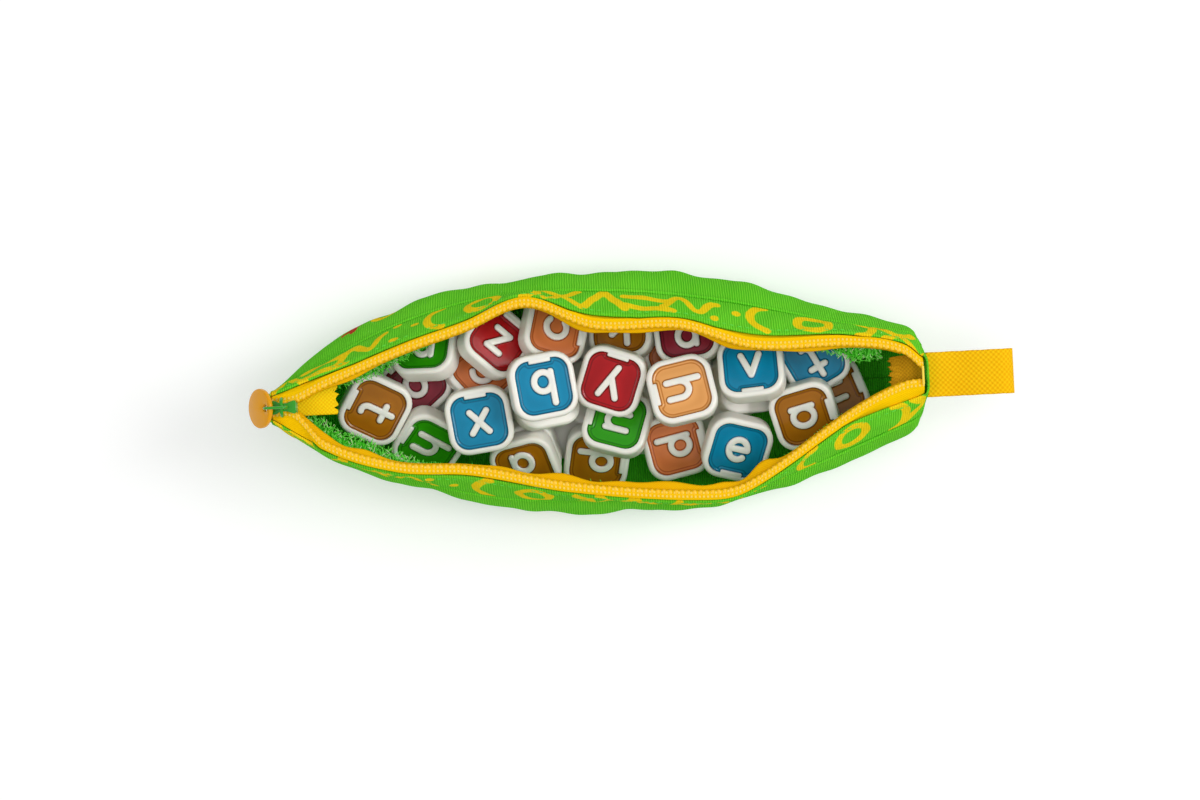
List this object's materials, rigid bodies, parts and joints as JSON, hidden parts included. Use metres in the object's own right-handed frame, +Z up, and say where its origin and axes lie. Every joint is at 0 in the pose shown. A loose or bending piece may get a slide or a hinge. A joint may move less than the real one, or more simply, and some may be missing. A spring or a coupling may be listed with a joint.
{
  "type": "travel word tile game case",
  "caption": "Zipped cloth pouch standing open and heaped with letter tiles, with a slider, a disc pull and a webbing hanging loop.",
  "frame": {"origin": "middle of the flat base, where the pouch stands", "axes": "+X along the zip towards the hanging loop, +Y towards the back wall, +Z up out of the mouth"},
  "size_m": [0.2504, 0.0825, 0.064],
  "materials": {
    "green_cloth": "woven cotton canvas with a fine rib",
    "printed_cloth": "woven cotton canvas with a yellow print",
    "frayed_hem": "cut and fraying canvas edge",
    "zip_tape": "woven tape with two rows of stitches",
    "zip_coil": "moulded coil",
    "thread": "twisted thread",
    "green_enamel": "glossy enamel",
    "amber_plastic": "clear-tinted moulding",
    "webbing": "basket-woven webbing",
    "tile_body": "satin moulding with rounded edges",
    "blue_face": "glossy inlay",
    "green_face": "glossy inlay",
    "red_face": "glossy inlay",
    "maroon_face": "glossy inlay",
    "orange_face": "glossy inlay",
    "brown_face": "glossy inlay",
    "peach_face": "glossy inlay"
  },
  "bodies": {
    "pouch": {"front_panel": "green_cloth", "back_panel": "green_cloth", "tip_panel": "green_cloth", "end_panel": "green_cloth", "front_band": "printed_cloth", "back_band": "printed_cloth", "front_seam_hem": "frayed_hem", "back_seam_hem": "frayed_hem", "tape_tail": "zip_tape", "end_tack": "thread", "webbing_tail": "webbing", "buried_tiles": "tile_body", "turned_tiles": "tile_body", "letter_tiles": "tile_body", "blue_faces": "blue_face", "green_faces": "green_face", "red_faces": "red_face", "maroon_faces": "maroon_face", "orange_faces": "orange_face", "brown_faces": "brown_face"},
    "front_lip": {"front_zip_tape": "zip_tape", "front_coil": "zip_coil"},
    "back_lip": {"back_zip_tape": "zip_tape", "back_coil": "zip_coil"},
    "zip_slider": {"slider": "green_enamel"},
    "link": {"pull_link": "green_enamel"},
    "disc": {"pull_disc": "amber_plastic"},
    "hanging_loop": {"webbing_loop": "webbing"},
    "left_lift_tile": {"left_blue_tile": "tile_body", "left_blue_face": "blue_face"},
    "right_lift_tile": {"right_peach_tile": "tile_body", "right_peach_face": "peach_face"}
  },
  "joints": [
    {"name": "zip_slide", "type": "slide", "parent": "pouch", "child": "zip_slider", "axis": [1, 0, 0], "range_m": [0, 0.20465]},
    {"name": "front_lip_close", "type": "slide", "parent": "pouch", "child": "front_lip", "axis": [0, 1, 0], "range_m": [0, 0.034], "deforming": ["front_zip_tape", "front_coil"]},
    {"name": "back_lip_close", "type": "slide", "parent": "pouch", "child": "back_lip", "axis": [0, -1, 0], "range_m": [0, 0.034], "deforming": ["back_zip_tape", "back_coil"]},
    {"name": "link_swing", "type": "hinge", "parent": "zip_slider", "child": "link", "pos_m": [-0.1035, 0, 0.06175], "axis": [0, 1, 0], "range_deg": [0, 120]},
    {"name": "disc_swing", "type": "hinge", "parent": "link", "child": "disc", "pos_m": [-0.1072, 0, 0.06175], "axis": [0, 1, 0], "range_deg": [-9, 111]},
    {"name": "loop_fold", "type": "hinge", "parent": "pouch", "child": "hanging_loop", "pos_m": [0.1092, 0, 0.0506], "axis": [0, 1, 0], "range_deg": [-45, 45], "stiffness_Nm_per_rad": 0.01},
    {"name": "left_tile_lift", "type": "slide", "parent": "pouch", "child": "left_lift_tile", "axis": [0, 0, 1], "range_m": [0, 0.06]},
    {"name": "right_tile_lift", "type": "slide", "parent": "pouch", "child": "right_lift_tile", "axis": [0, 0, 1], "range_m": [0, 0.06]}
  ],
  "couplings": [
    {"joint": "front_lip_close", "follows": "zip_slide", "ratio": 0.16614},
    {"joint": "back_lip_close", "follows": "zip_slide", "ratio": 0.16614}
  ]
}
